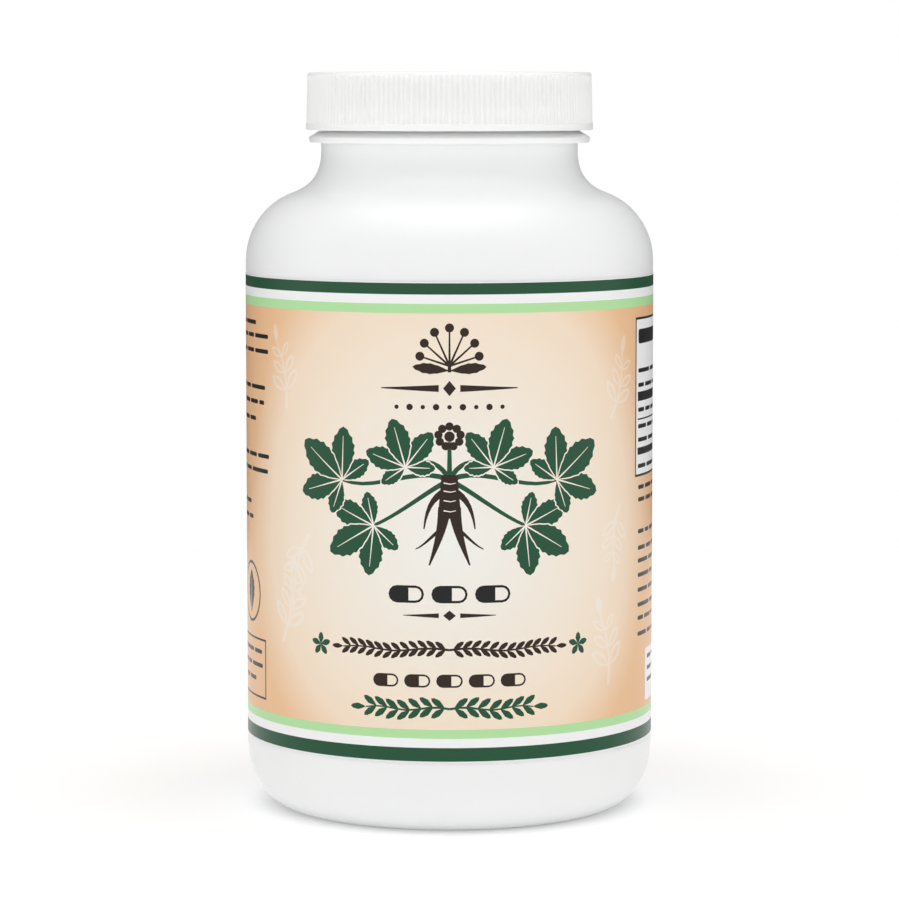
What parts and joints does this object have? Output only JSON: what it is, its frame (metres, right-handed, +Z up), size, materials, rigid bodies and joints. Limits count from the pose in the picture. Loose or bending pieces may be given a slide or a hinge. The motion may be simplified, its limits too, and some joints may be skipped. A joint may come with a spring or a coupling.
{
  "type": "supplement bottle with screw cap",
  "caption": "Round white wide-mouth bottle with rolled shoulder, wrap-round label, foam liner and fine-ribbed screw cap that turns and lifts on a single-start thread.",
  "frame": {"origin": "centre of the foot, on the surface that the bottle stands on", "axes": "+Z up along the bottle's axis, -Y out through the middle of the label's front"},
  "size_m": [0.08, 0.08, 0.1438],
  "materials": {
    "bottle": "white HDPE, satin gloss",
    "label": "printed film label, satin",
    "liner": "white foamed polyethylene, matt",
    "cap": "white moulded polypropylene, fine ribs"
  },
  "bodies": {
    "bottle": {"bottle": "bottle", "label": "label"},
    "liner": {"liner": "liner"},
    "cap": {"cap": "cap"}
  },
  "joints": [
    {"name": "cap_lift", "type": "slide", "parent": "bottle", "child": "liner", "axis": [0, 0, 1], "range_m": [0, 0.00318]},
    {"name": "cap_turn", "type": "hinge", "parent": "liner", "child": "cap", "pos_m": [0, 0, 0.1426], "axis": [0, 0, 1], "range_deg": [0, 270]}
  ],
  "couplings": [
    {"joint": "cap_lift", "follows": "cap_turn", "m_per_rad": 0.00067376}
  ]
}
